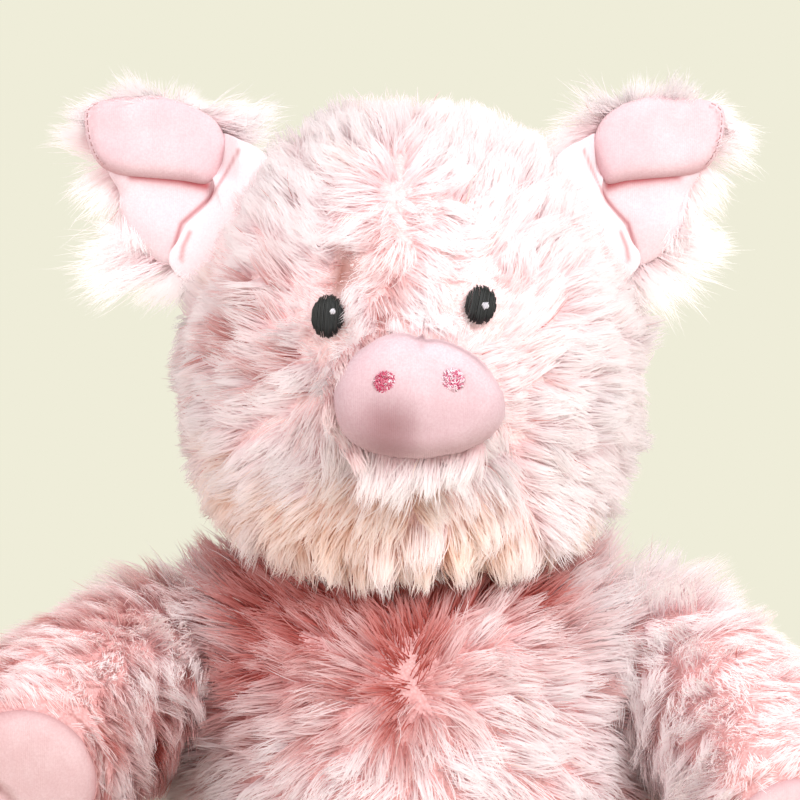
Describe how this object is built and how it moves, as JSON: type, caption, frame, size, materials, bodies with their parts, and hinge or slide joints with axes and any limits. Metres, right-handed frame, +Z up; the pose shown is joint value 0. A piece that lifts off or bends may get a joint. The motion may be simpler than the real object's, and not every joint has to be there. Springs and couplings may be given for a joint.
{
  "type": "plush pig",
  "caption": "Seated stuffed pig of long-pile pink fabric with velour snout, ears and trotter pads, sewn limbs that flop at their seams.",
  "frame": {"origin": "middle of the seat panel, on the floor that the toy sits on", "axes": "+Z up, the face looks along -Y, +X is the pig's own left side"},
  "size_m": [0.2937, 0.2701, 0.3325],
  "materials": {
    "head_pile": "matte",
    "body_pile": "matte",
    "velour": "matte",
    "stuffing": "matte",
    "pouch_fabric": "matte",
    "seam_fabric": "matte",
    "eye_thread": "satin",
    "white_thread": "satin",
    "nostril_thread": "satin"
  },
  "bodies": {
    "torso": {"body_panel_left": "body_pile", "body_panel_right": "body_pile", "seat_panel": "body_pile", "body_stuffing": "stuffing", "pellet_pouch": "pouch_fabric"},
    "neck": {"neck_seam_band": "seam_fabric"},
    "head": {"head_panel_left": "head_pile", "head_panel_right": "head_pile", "head_stuffing": "stuffing", "snout_cover": "velour", "snout_stuffing": "stuffing", "nostril_left": "nostril_thread", "nostril_right": "nostril_thread", "eye_left": "eye_thread", "eye_right": "eye_thread", "eye_highlight_left": "white_thread", "eye_highlight_right": "white_thread"},
    "ear_left": {"ear_back_left": "head_pile", "ear_lining_left": "velour"},
    "ear_right": {"ear_back_right": "head_pile", "ear_lining_right": "velour"},
    "arm_left": {"arm_sleeve_left": "body_pile", "arm_stuffing_left": "stuffing", "hand_pad_left": "velour"},
    "arm_right": {"arm_sleeve_right": "body_pile", "arm_stuffing_right": "stuffing", "hand_pad_right": "velour"},
    "leg_left": {"leg_sleeve_left": "body_pile", "leg_stuffing_left": "stuffing", "foot_pad_left": "velour"},
    "leg_right": {"leg_sleeve_right": "body_pile", "leg_stuffing_right": "stuffing", "foot_pad_right": "velour"},
    "tail": {"tail": "velour"}
  },
  "joints": [
    {"name": "head_turn", "type": "hinge", "parent": "torso", "child": "neck", "pos_m": [0, 0.008, 0.16], "axis": [0, 0, 1], "range_deg": [-25, 25]},
    {"name": "head_nod", "type": "hinge", "parent": "neck", "child": "head", "pos_m": [0, 0.008, 0.16], "axis": [1, 0, 0], "range_deg": [-12, 8]},
    {"name": "ear_flop_left", "type": "hinge", "parent": "head", "child": "ear_left", "pos_m": [0.05804, 0.004, 0.29437], "axis": [-0.4374, 0, 0.8993], "range_deg": [-20, 20]},
    {"name": "ear_flop_right", "type": "hinge", "parent": "head", "child": "ear_right", "pos_m": [-0.05804, 0.004, 0.29437], "axis": [0.4374, 0, 0.8993], "range_deg": [-20, 20]},
    {"name": "arm_swing_left", "type": "hinge", "parent": "torso", "child": "arm_left", "pos_m": [0.06, 0.01, 0.146], "axis": [-1, 0, 0], "range_deg": [0, 56]},
    {"name": "arm_swing_right", "type": "hinge", "parent": "torso", "child": "arm_right", "pos_m": [-0.06, 0.01, 0.146], "axis": [-1, 0, 0], "range_deg": [-12, 45]},
    {"name": "leg_swing_left", "type": "hinge", "parent": "torso", "child": "leg_left", "pos_m": [0.052, -0.052, 0.0375], "axis": [-1, 0, 0], "range_deg": [-30, 8]},
    {"name": "leg_swing_right", "type": "hinge", "parent": "torso", "child": "leg_right", "pos_m": [-0.052, -0.052, 0.0375], "axis": [-1, 0, 0], "range_deg": [-30, 8]},
    {"name": "tail_lift", "type": "hinge", "parent": "torso", "child": "tail", "pos_m": [0, 0.07625, 0.056], "axis": [1, 0, 0], "range_deg": [-20, 10]}
  ]
}
